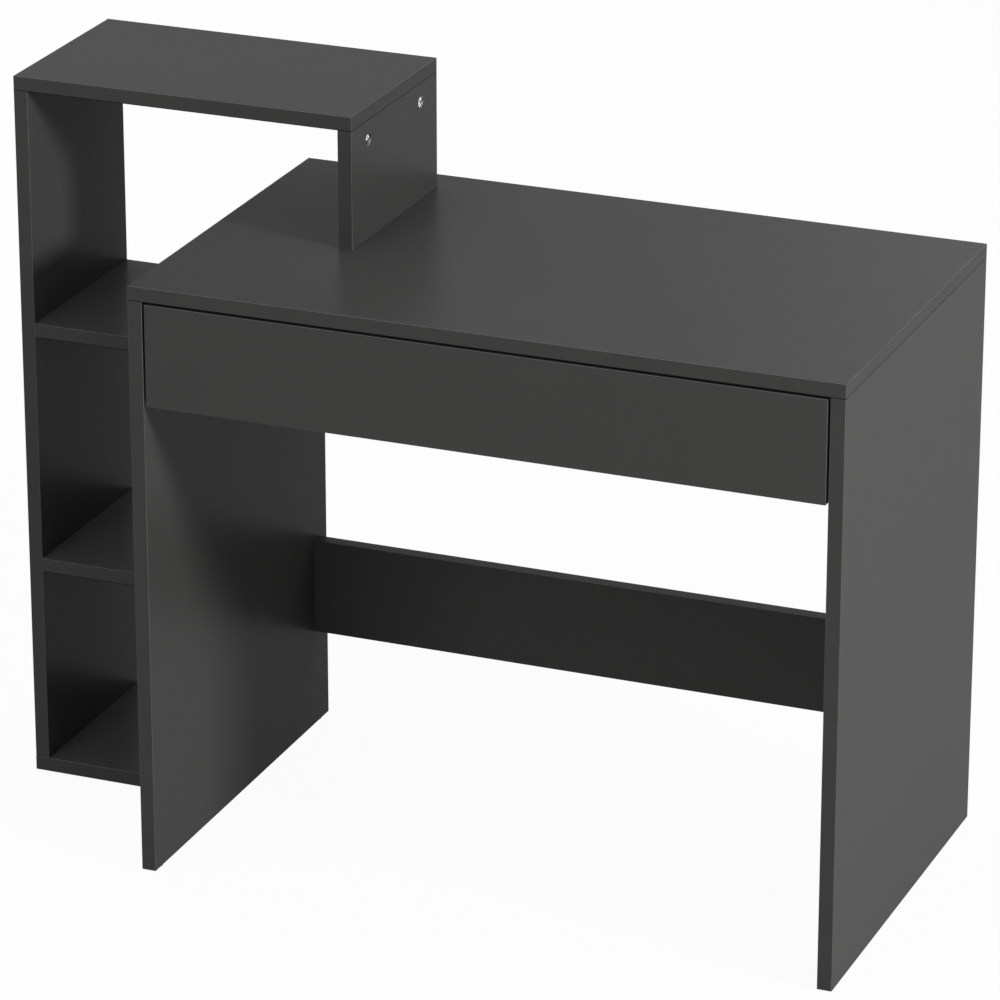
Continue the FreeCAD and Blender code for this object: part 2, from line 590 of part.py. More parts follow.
def ball_places():
    """Centres of one slide's balls, in two rows along the cage."""
    pitch = CAGE_LENGTH / BALLS_IN_ROW
    return [Vector(BALL_U, CAGE_FRONT + pitch * (index + 0.5), row)
            for row in (-BALL_W, BALL_W) for index in range(BALLS_IN_ROW)]


def ball_cage():
    """The pressed strip that spaces the balls, halfway along the rails when the drawer is shut."""
    half = BALL_W + CAGE_SHEET / 2
    strip = along_rail(channel(CAGE_WEB_U, CAGE_END_U, half, CAGE_SHEET), CAGE_FRONT, CAGE_LENGTH)
    holes = [rod(place - Z * CAGE_SHEET, Z, 2 * CAGE_SHEET, BALL_RADIUS + FIT) for place in ball_places()]
    return strip.cut(holes)


def bumper():
    """The rubber block at the closed end of the outer rail."""
    return box(Vector(RAIL_SHEET, SLIDE_LENGTH - BUMPER_LENGTH, -BUMPER_HEIGHT / 2),
               Vector(SLIDE_GAP - RAIL_CLEARANCE - RAIL_SHEET, SLIDE_LENGTH, BUMPER_HEIGHT / 2))


def rail_screw_places(length):
    """Where the screws lie along a rail: near its ends and in the middle."""
    return RAIL_SCREW_INSET, length / 2, length - RAIL_SCREW_INSET


def fit_slides():
    """Both slides, the right one the left one's mirror image."""
    for hand, start, mirrored in (("left", INNER_LEFT, False), ("right", INNER_RIGHT, True)):
        def set_in_place(solid):
            shape = solid.mirror(ORIGIN, X) if mirrored else solid.copy()
            shape.translate(Vector(start, RAIL_FRONT, SLIDE_HEIGHT))
            return shape

        outer, inner = outer_rail(), inner_rail()
        for y in rail_screw_places(SLIDE_LENGTH):
            seat = Vector(RAIL_SHEET, y, 0)
            add("outer_rail_screws", set_in_place(placed(pan_screw(OUTER_SCREW_LENGTH), seat, -X, Z)))
            hole = rod(seat + X * TIP, -X, OUTER_SCREW_LENGTH + 2 * TIP, RAIL_SCREW_RADIUS + FIT)
            outer = outer.cut(hole)
            drill("desk_%s_side" % hand, set_in_place(hole))
        for y in rail_screw_places(INNER_LENGTH):
            seat = Vector(SLIDE_GAP - RAIL_SHEET, y, 0)
            add("inner_rail_screws", set_in_place(placed(pan_screw(INNER_SCREW_LENGTH), seat, X, Z)))
            hole = rod(seat - X * TIP, X, INNER_SCREW_LENGTH + 2 * TIP, RAIL_SCREW_RADIUS + FIT)
            inner = inner.cut(hole)
            drill("drawer_%s_side" % hand, set_in_place(hole))
        add("%s_outer_rail" % hand, set_in_place(outer))
        add("%s_inner_rail" % hand, set_in_place(inner))
        add("%s_ball_cage" % hand, set_in_place(ball_cage()))
        for place in ball_places():
            add("%s_slide_balls" % hand, set_in_place(Part.makeSphere(BALL_RADIUS, place)))
        add("slide_bumpers", set_in_place(bumper()))


def main():
    lay_carcass_boards()
    lay_drawer_boards()
    join_desktop()
    join_stretcher()
    join_bookcase()
    join_top_shelf()
    join_from_below()
    fit_glides()
    join_drawer()
    screw_drawer_bottom()
    fit_slides()

    nodes = {name: [core.cut(drillings[name])] for name, core in boards.items()}
    nodes.update(fittings)
    os.makedirs("parts", exist_ok=True)
    for name, solids in nodes.items():
        pieces = [piece for solid in solids for piece in solid.Solids]
        shape = pieces[0] if len(pieces) == 1 else Part.makeCompound(pieces)
        shape.exportStep("parts/%s.step" % name)
        print("%-34s %2d solids %12.1f mm3 %s" % (name, len(pieces), shape.Volume, shape.isValid()))


main()
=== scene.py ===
# %% [markdown]
# # A charcoal computer desk, dressed in Blender
#
# The desk is flat-pack furniture: melamine-faced boards with plastic edge bands, held by cam locks, dowels
# and screws, with one full-width drawer on ball-bearing slides. Its construction is finished before this
# lesson starts, so every board already has its real size and place. The lesson gives each surface its
# finish, makes the small metal fittings in full detail, and sets up the studio.

# %% Load the construction
import json
import math

import bmesh
import bpy
from mathutils import Matrix, Vector


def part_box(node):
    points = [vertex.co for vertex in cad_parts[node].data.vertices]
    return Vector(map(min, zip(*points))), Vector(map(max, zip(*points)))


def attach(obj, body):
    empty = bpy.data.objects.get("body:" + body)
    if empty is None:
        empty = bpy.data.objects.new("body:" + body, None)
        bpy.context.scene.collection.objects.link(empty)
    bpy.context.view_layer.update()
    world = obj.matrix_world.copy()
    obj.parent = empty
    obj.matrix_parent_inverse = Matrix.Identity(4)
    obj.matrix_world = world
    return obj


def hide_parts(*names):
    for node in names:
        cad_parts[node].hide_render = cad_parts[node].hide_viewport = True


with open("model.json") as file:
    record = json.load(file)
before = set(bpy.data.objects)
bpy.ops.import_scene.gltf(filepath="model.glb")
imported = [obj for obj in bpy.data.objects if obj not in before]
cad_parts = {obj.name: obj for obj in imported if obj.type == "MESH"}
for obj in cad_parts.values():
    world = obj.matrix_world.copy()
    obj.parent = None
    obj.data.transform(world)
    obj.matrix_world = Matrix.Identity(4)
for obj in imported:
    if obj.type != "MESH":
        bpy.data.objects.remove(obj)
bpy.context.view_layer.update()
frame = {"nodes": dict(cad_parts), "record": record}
scene = bpy.context.scene

# %% [markdown]
# ## The camera
#
# A picture fixes its camera: the corners of a box of known size, found in the picture, give the camera's
# place, its turn and its lens. Here they gave a long lens from the right, a little above eye level. Blender
# wants the lens in millimetres on a sensor, so the focal length in pixels is scaled by the sensor's width.

# %% Set the camera
IMAGE_SIDE = 1000                      # pixels along each side of the square picture
FOCAL_LENGTH = 5472.0                  # in pixels of that picture
SENSOR = 36.0                          # millimetres
CAMERA_PLACE = (2.3387, -5.6565, 2.8485)
CAMERA_AZIMUTH = 22.056                # degrees to the right of straight ahead
CAMERA_ELEVATION = 21.525              # degrees above the horizon

camera_data = bpy.data.cameras.new("camera")
camera_data.sensor_width = SENSOR
camera_data.lens = FOCAL_LENGTH / IMAGE_SIDE * SENSOR
camera = bpy.data.objects.new("camera", camera_data)
camera.location = CAMERA_PLACE
camera.rotation_euler = (math.radians(90 - CAMERA_ELEVATION), 0, math.radians(CAMERA_AZIMUTH))
scene.collection.objects.link(camera)
scene.camera = camera
print("camera with a %.0f mm lens" % camera_data.lens)

# %% [markdown]
# ## Writing shaders as sums
#
# A finish is a small sum over patterns: a colour that drifts, a roughness with wiping marks in it, a height
# for the bump. Dozens of nodes placed by hand hide that sum. So one class, Wire, stands for a node's output
# and lets Python's operators add the nodes. A second one, Nodes, makes any node from its type, its settings
# and its inputs. A third, Finish, adds the patterns that the desk's materials are made of.

# %% A wire that can be reckoned with
class Wire:
    """The output of a shader node. Arithmetic on it adds the nodes that do the sum."""

    def __init__(self, nodes, socket):
        self.nodes = nodes
        self.socket = socket

    def reckon(self, operation, first, second):
        """One operation: a Mix node on colours, Vector Math on vectors, and Math on values."""
        kinds = {side.socket.type for side in (first, second) if isinstance(side, Wire)}
        if "RGBA" in kinds:
            return self.nodes.mix(1.0, first, second, operation)
        kind = "ShaderNodeVectorMath" if "VECTOR" in kinds else "ShaderNodeMath"
        return self.nodes.node(kind, {"operation": operation}, {0: first, 1: second})

    def __add__(self, other):
        return self.reckon("ADD", self, other)

    def __sub__(self, other):
        return self.reckon("SUBTRACT", self, other)

    def __rsub__(self, other):
        return self.reckon("SUBTRACT", other, self)

    def __mul__(self, other):
        return self.reckon("MULTIPLY", self, other)

    def __abs__(self):
        return self.reckon("ABSOLUTE", self, 0.0)

    __radd__ = __add__
    __rmul__ = __mul__

    def larger(self, other):
        return self.reckon("MAXIMUM", self, other)

    def fade(self, low, high):
        """0 below low, 1 above high and smooth between."""
        return self.nodes.node("ShaderNodeMapRange", {"interpolation_type": "SMOOTHSTEP"},
                               {"Value": self, "From Min": low, "From Max": high})


print("a wire knows + - * and abs")

# %% A place for the nodes
MIX_FACTOR, MIX_FIRST, MIX_SECOND, MIX_RESULT = 0, 6, 7, 2    # the colour sockets of a Mix node


def paint(colour):
    """A colour for a socket: a wire as it is, a grey from one number, or three numbers."""
    if isinstance(colour, Wire):
        return colour
    if isinstance(colour, tuple):
        return (*colour, 1.0)
    return (colour, colour, colour, 1.0)


class Nodes:
    """The node tree of a material or of the sky."""

    def __init__(self, holder):
        holder.use_nodes = True
        self.tree = holder.node_tree
        self.tree.nodes.clear()

    def node(self, kind, settings=None, inputs=None, output=0):
        """Any node: its settings are set first, then its sockets get values or links."""
        made = self.tree.nodes.new(kind)
        for name, value in (settings or {}).items():
            if name == "stops":
                self.set_stops(made.color_ramp, value)
            else:
                setattr(made, name, value)
        for key, value in (inputs or {}).items():
            if isinstance(value, Wire):
                self.tree.links.new(value.socket, made.inputs[key])
            else:
                made.inputs[key].default_value = value
        return Wire(self, made.outputs[output]) if made.outputs else None

    def set_stops(self, ramp, stops):
        while len(ramp.elements) < len(stops):
            ramp.elements.new(1.0)
        for element, (place, colour) in zip(ramp.elements, stops):
            element.position = place
            element.color = paint(colour)

    def mix(self, factor, first, second, operation="MIX"):
        return self.node("ShaderNodeMix", {"data_type": "RGBA", "blend_type": operation},
                         {MIX_FACTOR: factor, MIX_FIRST: paint(first), MIX_SECOND: paint(second)}, MIX_RESULT)

    def parts(self, output):
        """One kind of texture coordinate, split along X, Y and Z."""
        whole = self.node("ShaderNodeTexCoord", output=output)
        split = self.node("ShaderNodeSeparateXYZ", inputs={0: whole})
        return [Wire(self, socket) for socket in split.socket.node.outputs]

    def looked_at(self):
        """1 where the camera looks, also in a mirror or through glass, and 0 where only light travels."""
        rays = [self.node("ShaderNodeLightPath", output=name)
                for name in ("Is Camera Ray", "Is Glossy Ray", "Is Transmission Ray")]
        return rays[0].larger(rays[1]).larger(rays[2])


print("nodes come from one method")

# %% A finish and its patterns
EVEN = (1.0, 1.0, 1.0)


class Finish(Nodes):
    """A procedural material, whose patterns lie in the desk's own metres."""

    def __init__(self, name):
        self.material = bpy.data.materials.new(name)
        super().__init__(self.material)

    def place(self, stretch=EVEN):
        """Where a point lies on the desk, in metres, with the pattern stretched along each axis."""
        return self.node("ShaderNodeTexCoord", output="Object") * tuple(1 / share for share in stretch)

    def facing(self):
        """The surface normal along each axis, from -1 to 1."""
        return self.parts("Normal")

    def share(self):
        """Where a point lies in the box of its own piece, from 0 to 1 along each axis."""
        return self.parts("Generated")

    def noise(self, size, stretch=EVEN, detail=2.0):
        """A cloudy pattern from 0 to 1, its clouds of the given size in metres."""
        return self.node("ShaderNodeTexNoise", {"noise_dimensions": "3D"},
                         {"Vector": self.place(stretch), "Scale": 1 / size, "Detail": detail}, "Fac")

    def cells(self, size, stretch=EVEN, output="Color"):
        """Grains of the given size in metres: their random colours, or the distance from their middles."""
        return self.node("ShaderNodeTexVoronoi", {"feature": "F1"},
                         {"Vector": self.place(stretch), "Scale": 1 / size}, output)

    def threads(self, size, axis):
        """Even ridges that follow each other along an axis, from 0 to 1."""
        return self.node("ShaderNodeTexWave", {"bands_direction": axis},
                         {"Vector": self.place(), "Scale": math.pi / 10 / size, "Distortion": 0.0}, "Fac")

    def bump(self, height, depth):
        """A normal from a height of 0 to 1 that stands for a depth in metres."""
        return self.node("ShaderNodeBump", inputs={"Height": height, "Distance": depth})

    def surface(self, sockets):
        """The material's shader, with these values or wires on its sockets."""
        shader = self.node("ShaderNodeBsdfPrincipled", inputs=sockets)
        self.node("ShaderNodeOutputMaterial", inputs={"Surface": shader})
        return self.material


print("patterns: noise, cells and threads")

# %% [markdown]
# ## The studio
#
# The desk stands on a white sweep, with a soft key light from the right, a broad fill from the front and a
# bright panel behind. The surroundings here are a plain sky, dark round the horizon and pale overhead. It
# lights the tops and the fronts alike, and leaves the space under the desk as dark as it should be. That
# holds for light only: to the camera, and in whatever mirrors it, the sky is white all round.

# %% Surroundings
HORIZON_TOP = math.sin(math.radians(8))        # the dark band ends at this height, as a sine
CEILING_FROM = math.sin(math.radians(26))      # and the even sky starts here
CEILING = 0.75


def sky():
    world = bpy.data.worlds.new("studio")
    nodes = Nodes(world)
    light = nodes.node("ShaderNodeMapRange", inputs={
        "Value": nodes.parts("Generated")[2], "From Min": HORIZON_TOP, "From Max": CEILING_FROM,
        "To Max": CEILING})
    glow = nodes.node("ShaderNodeBackground", inputs={"Color": light.larger(nodes.looked_at())})
    nodes.node("ShaderNodeOutputWorld", inputs={"Surface": glow})
    return world


scene.world = sky()
scene.view_settings.view_transform = "Standard"
print("sky of", CEILING, "overhead")

# %% [markdown]
# The floor is white paint that also glows to the camera and in reflections, so it stays white out to the
# horizon while the desk still leaves a soft shadow on it. A Mix Shader does both: its factor is high for
# looks and zero for light, so the glow brightens nothing on the desk.

# %% Floor
FLOOR_SIDE = 40.0
FLOOR_WHITE = 0.60
FLOOR_GLOW = 0.95                              # share of the floor's look that is plain white


def white_floor():
    finish = Finish("white_floor")
    matt = finish.node("ShaderNodeBsdfDiffuse", inputs={"Color": paint(FLOOR_WHITE)})
    glow = finish.node("ShaderNodeEmission", inputs={"Color": paint(1.0), "Strength": 1.0})
    share = finish.looked_at() * FLOOR_GLOW
    both = finish.node("ShaderNodeMixShader", inputs={0: share, 1: matt, 2: glow})
    finish.node("ShaderNodeOutputMaterial", inputs={"Surface": both})
    return finish.material


floor_mesh = bpy.data.meshes.new("studio_floor")
work = bmesh.new()
bmesh.ops.create_grid(work, x_segments=1, y_segments=1, size=FLOOR_SIDE / 2)
work.to_mesh(floor_mesh)
work.free()
floor = bpy.data.objects.new("studio_floor", floor_mesh)
floor_mesh.materials.append(white_floor())
scene.collection.objects.link(floor)
print("floor of", FLOOR_SIDE, "m")

# %% [markdown]
# Four square lamps stand round the desk. The key is the smallest, and makes the right side the brightest
# face. The fill evens out the fronts, the sheen lays a cool shine over the tops, and the rear lamp keeps the
# back readable from behind. A lamp shines along its own -Z axis, so each is turned until its +Z axis points
# away from the desk.

# %% Lamps
DESK_MIDDLE = Vector((0.1, 0.0, 0.5))
WHITE, COOL = (1.0, 1.0, 1.0), (0.92, 0.97, 1.0)


def softbox(name, direction, distance, size, power, colour=WHITE):
    """A square lamp that looks at the desk from a direction."""
    data = bpy.data.lights.new(name, "AREA")
    data.size = size
    data.energy = power
    data.color = colour
    lamp = bpy.data.objects.new(name, data)
    lamp.location = DESK_MIDDLE + Vector(direction).normalized() * distance
    lamp.rotation_euler = Vector(direction).to_track_quat("Z", "Y").to_euler()
    lamp.visible_camera = False
    scene.collection.objects.link(lamp)
    return lamp


softbox("key", (1.0, -0.3, 0.43), distance=4.0, size=0.5, power=128.0)
softbox("fill", (-0.25, -1.0, 0.55), distance=5.0, size=2.5, power=78.0)
softbox("sheen", (0.03, 1.0, 0.42), distance=4.0, size=2.0, power=12.0, colour=COOL)
softbox("rear", (-1.0, 0.6, 0.10), distance=5.0, size=2.5, power=120.0)

# %% [markdown]
# ## Melamine-faced chipboard
#
# The boards are chipboard with a charcoal decor paper pressed on both faces. The press plate leaves a fine
# pearl texture, and the resin has a satin sheen that varies a little with handling. Where a face ends
# without an edge band or a hole is drilled, the chips show between the dark edges of the two decor films.
# The surface normal tells faces from edges, so one material covers a board: it only has to know along which
# axis the board is thin.

# %% Bare chipboard
AXES = "XYZ"
CHIP, CHIP_FLATNESS = 0.005, 0.25              # metres across a chip, and its thickness as a share of that
CHIP_TONES = [(0.0, (0.16, 0.10, 0.05)), (0.5, (0.36, 0.25, 0.14)), (1.0, (0.55, 0.42, 0.26))]
BARE = 0.85                                    # roughness of bare chipboard


def along(axis, size):
    """A stretch along one axis only."""
    return tuple(size if name == axis else 1.0 for name in AXES)


def chips(finish, thin):
    """Colour and height of bare chipboard, whose chips lie flat in the board."""
    tone = finish.node("ShaderNodeSeparateColor", inputs={0: finish.cells(CHIP, along(thin, CHIP_FLATNESS))})
    return finish.node("ShaderNodeValToRGB", {"stops": CHIP_TONES}, {"Fac": tone}), tone


print("chips of", CHIP * 1000, "mm in", len(CHIP_TONES), "tones")

# %% Board finish
CHARCOAL = (0.0505, 0.0505, 0.0491)
CHARCOAL_DEEP = (0.0400, 0.0400, 0.0391)
SATIN = 0.325                                  # roughness of the faces
SHEEN_LEVEL = 0.017                            # how strongly the resin reflects
FACE_ON = (0.4, 0.6)                           # a normal turns from edge to face between these sizes
FILM_STARTS, FILM_FULL = 0.455, 0.460          # shares of the thickness, from the middle of the board
FLECK, PEARL, PEARL_DEPTH = 0.0013, 0.0011, 0.000090    # metres
CLOUD, WIPE, WIPE_STRETCH = 0.14, 0.03, 6.0


def melamine(thin):
    finish = Finish("charcoal_melamine_thin_" + thin.lower())
    index = AXES.index(thin)
    film = abs(finish.share()[index] - 0.5).fade(FILM_STARTS, FILM_FULL)
    face = abs(finish.facing()[index]).fade(*FACE_ON).larger(film)
    cloud = finish.noise(CLOUD, detail=3.0)
    fleck = finish.noise(FLECK, detail=3.0).fade(0.35, 0.65)
    pearl = finish.noise(PEARL)
    wipes = finish.noise(WIPE, along("X", WIPE_STRETCH), detail=3.0)
    decor = finish.mix(cloud * 0.35 + fleck * 0.65, CHARCOAL_DEEP, CHARCOAL)
    chip_colour, chip_height = chips(finish, thin)
    gloss = SATIN + (cloud - 0.5) * 0.05 + (wipes - 0.5) * 0.04
    return finish.surface({
        "Base Color": finish.mix(face, chip_colour, decor),
        "Roughness": BARE + face * (gloss - BARE),
        "Specular IOR Level": SHEEN_LEVEL,
        "Normal": finish.bump(face * pearl + (1 - face) * chip_height, PEARL_DEPTH)})


board_finishes = {axis: melamine(axis) for axis in AXES}
print("board finishes:", [material.name for material in board_finishes.values()])

# %% [markdown]
# ## Edge bands
#
# Every edge that shows carries a one-millimetre plastic band, glued on and scraped round along its two
# arrises. The scraping leaves the plastic a little smoother there, and the arris is painted paler, partly
# for the pale of scraped plastic and partly as a painted highlight of the light that the rounding catches;
# it draws the desk's edges as a thin light line. The rounding is real geometry, so the arris is found where
# the normal lies along no axis. A board that lies on others has a dark line painted along the bottom of
# its bands, a painted shadow that draws the seam where the boards meet.

# %% Edge band finish
BAND = (0.0470, 0.0470, 0.0457)
BAND_DEEP = (0.0372, 0.0372, 0.0364)
# pale of scraped plastic, and a painted highlight on the rounded arris
SCRAPED_AND_HIGHLIGHT = (0.16, 0.16, 0.157)
# painted shadow: the dark line along the bottom of a lying board's bands, where the seam lies
SEAM_SHADOW = (0.010, 0.010, 0.010)
SEAM_SHADOW_FADES, SEAM_SHADOW_ENDS = 0.045, 0.075           # shares of the band's height
ARRIS_STARTS, ARRIS_FULL = 0.02, 0.22          # how far a normal has turned from the nearest axis
BAND_CLOUD, BAND_GRAIN, BAND_DEPTH = 0.09, 0.0012, 0.000045


def edge_band(name, seam_shadow_below):
    """A band's plastic, with a painted seam shadow along its bottom where the board lies on others."""
    finish = Finish(name)
    sizes = [abs(part) for part in finish.facing()]
    arris = (1 - sizes[0].larger(sizes[1]).larger(sizes[2])).fade(ARRIS_STARTS, ARRIS_FULL)
    cloud = finish.noise(BAND_CLOUD, detail=3.0)
    grain = finish.noise(BAND_GRAIN)
    colour = finish.mix(cloud, BAND_DEEP, BAND)
    # the arris is painted paler: partly scraped plastic, partly a painted highlight
    colour = finish.mix(arris * (0.55 + cloud * 0.45), colour, SCRAPED_AND_HIGHLIGHT)
    if seam_shadow_below:
        # painted seam shadow along the band's bottom
        seam_shade = 1 - finish.share()[2].fade(SEAM_SHADOW_FADES, SEAM_SHADOW_ENDS)
        colour = finish.mix(seam_shade, colour, SEAM_SHADOW)
    return finish.surface({
        "Base Color": colour,
        "Roughness": SATIN + 0.02 + (grain - 0.5) * 0.04 - arris * 0.02,
        "Specular IOR Level": SHEEN_LEVEL,
        "Normal": finish.bump(grain, BAND_DEPTH)})


band_finishes = {"lying": edge_band("charcoal_band_lying_seam_shadow", True),
                 "standing": edge_band("charcoal_band_standing", False)}
print("band finishes:", [material.name for material in band_finishes.values()])

# %% [markdown]
# ## The drawer's boards
#
# Inside, the drawer is plainer: thin board wrapped in a charcoal foil with a fine linen emboss, and a
# hardboard bottom that is lacquered on top and bare brown fibre below. The foil goes round the long edges of
# a board, so only the ends that are square to its length are bare. Two sets of ridges at right angles make
# the linen, and coarser ones make the print that the press's wire screen leaves on the bottom's underside.

# %% Foil-wrapped board
FOIL = (0.0400, 0.0400, 0.0390)
FOIL_PALE = (0.0490, 0.0490, 0.0478)
FOIL_LEVEL = 0.15                              # how strongly foil and lacquer reflect
LINEN, LINEN_DEPTH = 0.0008, 0.00004           # metres from thread to thread, and their height


def wrapped_board(thin):
    finish = Finish("linen_foil_thin_" + thin.lower())
    sizes = [abs(part) for part in finish.facing()]
    foil = sizes[AXES.index(thin)].larger(sizes[2]).fade(*FACE_ON)
    run = "Y" if thin == "X" else "X"
    weave = finish.threads(LINEN, run) * 0.5 + finish.threads(LINEN, "Z") * 0.5
    cloud = finish.noise(0.11, detail=3.0)
    chip_colour, chip_height = chips(finish, thin)
    return finish.surface({
        "Base Color": finish.mix(foil, chip_colour, finish.mix(weave * 0.6 + cloud * 0.4, FOIL, FOIL_PALE)),
        "Roughness": BARE - foil * (0.45 - weave * 0.08 - cloud * 0.05),
        "Specular IOR Level": FOIL_LEVEL,
        "Normal": finish.bump(foil * weave + (1 - foil) * chip_height, LINEN_DEPTH)})


drawer_finishes = {axis: wrapped_board(axis) for axis in "XY"}
print("drawer finishes:", [material.name for material in drawer_finishes.values()])

# %% Hardboard
FIBRE = (0.135, 0.082, 0.045)
FIBRE_PALE = (0.235, 0.150, 0.085)
FIBRE_WIDTH, FIBRE_STRETCH = 0.0007, 5.0
SCREEN, SCREEN_DEPTH = 0.0022, 0.00010         # metres from wire to wire of the press's screen, and its print


def hardboard():
    finish = Finish("lacquered_hardboard")
    top = finish.facing()[2].fade(0.3, 0.6)
    fibres = finish.noise(FIBRE_WIDTH, along("X", FIBRE_STRETCH), detail=3.0)
    screen = finish.threads(SCREEN, "X") * finish.threads(SCREEN, "Y")
    cloud = finish.noise(0.08, detail=3.0)
    bare = finish.mix(fibres * 0.6 + cloud * 0.4, FIBRE, FIBRE_PALE)
    lacquer = finish.mix(fibres * 0.5 + cloud * 0.5, FOIL, FOIL_PALE)
    return finish.surface({
        "Base Color": finish.mix(top, bare, lacquer),
        "Roughness": 0.9 - top * (0.5 - cloud * 0.08),
        "Specular IOR Level": FOIL_LEVEL,
        "Normal": finish.bump(top * fibres * 0.25 + (1 - top) * screen, SCREEN_DEPTH)})


bottom_finish = hardboard()
print("drawer bottom:", bottom_finish.name)

# %% [markdown]
# ## Metals
#
# The metals differ in how they were worked. Die-cast nuts are bright and a little mottled, screws are zinc
# plated, and rails are rolled, so their sheet is streaked along its length. The cages carry a film of
# grease, which a coat that comes and goes stands for. Wherever a recess is tight, such as in a screw's
# cross, the colour is painted dark as shade, and the Ambient Occlusion node finds those places by
# measuring how closed in a point is.

# %% Metal finishes
# painted shade: the colour that tight recesses turn to
RECESS_SHADE = (0.022, 0.021, 0.020)
RECESS = 0.003                                 # metres; a recess narrower than about this is painted dark, as shade
CLOSED_IN, OPEN = 0.35, 0.80                   # the painted shade ends between these shares of open air
BLOTCH, FINE, FINE_DEPTH = 0.004, 0.0005, 0.000008
DULLED = 0.80                                  # the darkest blotch as a share of the colour
UNEVEN = 0.12                                  # how much each pattern changes the roughness
SMEAR = 0.012                                  # metres across a smear of grease


def metal(name, colour, roughness, streak=EVEN, grease=0.0):
    finish = Finish(name)
    blotch = finish.noise(BLOTCH, streak, detail=3.0)
    fine = finish.noise(FINE, streak)
    open_air = finish.node("ShaderNodeAmbientOcclusion", {"samples": 8, "only_local": True},
                           {"Distance": RECESS}, "AO")
    dull = tuple(part * DULLED for part in colour)
    clean = finish.mix(blotch.fade(0.3, 0.7), dull, colour)
    film = finish.noise(SMEAR).fade(0.4, 0.6) * grease if grease else 0.0
    return finish.surface({
        # painted shade: the colour goes dark where the Ambient Occlusion node finds a recess
        "Base Color": finish.mix(open_air.fade(CLOSED_IN, OPEN), RECESS_SHADE, clean),
        "Metallic": 1.0,
        "Roughness": roughness + (fine - 0.5) * UNEVEN + (blotch - 0.5) * UNEVEN,
        "Coat Weight": film,
        "Coat Roughness": 0.25,
        "Normal": finish.bump(fine, FINE_DEPTH)})


metal_finishes = {
    "cam_zinc": metal("die_cast_zinc", (0.88, 0.88, 0.86), 0.14),
    "screw_steel": metal("zinc_plated_screw", (0.62, 0.62, 0.60), 0.36),
    "rail_steel": metal("rolled_rail_sheet", (0.58, 0.59, 0.60), 0.37, along("Y", 30.0)),
    "cage_steel": metal("greased_cage_strip", (0.50, 0.51, 0.52), 0.36, along("Y", 12.0), grease=0.7),
    "ball_steel": metal("ground_ball", (0.72, 0.72, 0.73), 0.12),
}
print("metals:", sorted(metal_finishes))

# %% [markdown]
# ## Rubber, plastic and beech
#
# The rest is small and plain: black rubber bumpers, black plastic glides whose soles are scuffed by the
# floor, and beech dowels. A sole faces down, so the normal tells where to rub it pale. Beech shows fine
# grain along the dowel and short dark rays in it, which stretched noise and stretched cells stand for.

# %% Small finishes
RUB, RUB_STRETCH, MOULD_GRAIN, MOULD_DEPTH = 0.0015, 4.0, 0.0004, 0.00003
BEECH, BEECH_PALE, BEECH_RAY = (0.46, 0.30, 0.16), (0.64, 0.46, 0.27), (0.38, 0.23, 0.12)
BEECH_GRAIN, RAY_SIZE, BEECH_DEPTH = 0.0006, 0.0012, 0.00004


def moulded(name, colour, worn, roughness):
    """Black moulding, paler where its underside has been rubbed."""
    finish = Finish(name)
    sole = (0 - finish.facing()[2]).fade(0.5, 0.9)
    rub = finish.noise(RUB, along("X", RUB_STRETCH), detail=4.0).fade(0.45, 0.65)
    grain = finish.noise(MOULD_GRAIN)
    return finish.surface({
        "Base Color": finish.mix(sole * rub * 0.7 + grain * 0.2, colour, worn),
        "Roughness": roughness + sole * rub * 0.15 + (grain - 0.5) * 0.1,
        "Specular IOR Level": 0.25,
        "Normal": finish.bump(grain, MOULD_DEPTH)})


def beech():
    finish = Finish("beech_dowel")
    grain = finish.noise(BEECH_GRAIN, along("X", 8.0), detail=3.0)
    ray = finish.cells(RAY_SIZE, along("X", 3.0), "Distance").fade(0.15, 0.3)
    return finish.surface({
        "Base Color": finish.mix(1 - ray, finish.mix(grain, BEECH, BEECH_PALE), BEECH_RAY),
        "Roughness": 0.6 + (grain - 0.5) * 0.2,
        "Normal": finish.bump(grain, BEECH_DEPTH)})


other_finishes = {
    "hardboard": bottom_finish,
    "bumper_rubber": moulded("black_rubber", (0.018, 0.018, 0.018), (0.05, 0.05, 0.05), 0.75),
    "glide_plastic": moulded("black_glide", (0.026, 0.026, 0.026), (0.10, 0.10, 0.10), 0.45),
    "dowel_wood": beech(),
}
print("others:", sorted(other_finishes))

# %% [markdown]
# ## Giving out the finishes
#
# Each piece of the construction names the slot of its material, so the slot chooses the finish. Boards also
# need to know along which axis they are thin, and bands whether their board lies or stands, and a piece's own
# box tells both. A piece keeps its mesh: only what its material slot holds is changed.

# %% Give out the finishes
LYING = 0.03                                   # metres; the bands of a lying board are lower than this
slots = {part["node"]: part["material_slot"] for part in frame["record"]["subparts"]}
body_of = {node: body for body, nodes in frame["record"]["behaviour"]["bodies"].items() for node in nodes}


def extent_of(node):
    low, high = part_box(node)
    return high - low


def thin_axis(node):
    """The axis along which a board is thinnest."""
    extent = extent_of(node)
    return AXES[min(range(3), key=lambda index: extent[index])]


def finish_for(node):
    slot = slots[node]
    if slot == "melamine_board":
        return board_finishes[thin_axis(node)]
    if slot == "drawer_board":
        return drawer_finishes[thin_axis(node)]
    if slot == "edge_band":
        return band_finishes["lying" if extent_of(node).z < LYING else "standing"]
    return metal_finishes.get(slot) or other_finishes[slot]


for node, piece in frame["nodes"].items():
    piece.data.materials.clear()
    piece.data.materials.append(finish_for(node))
print("finishes given to", len(slots), "nodes")

# %% [markdown]
# ## Die-cast cam nuts
#
# A cam nut is a zinc drum of 15 millimetres let into a board's face. It is the one bright thing on the desk,
# so it gets its real form: a slightly domed head, which mirrors the white floor at its top and the dark
# desktop at its bottom, a cross for the screwdriver, a groove inside the rim, and a mouth in the drum that
# takes the bolt's head. The construction holds a plain nut at each place. Its solids are found one by one,
# to say where the nuts belong.

# %% Find the solids of a node
WELD = 1e-6                                    # metres; corners closer than this are one


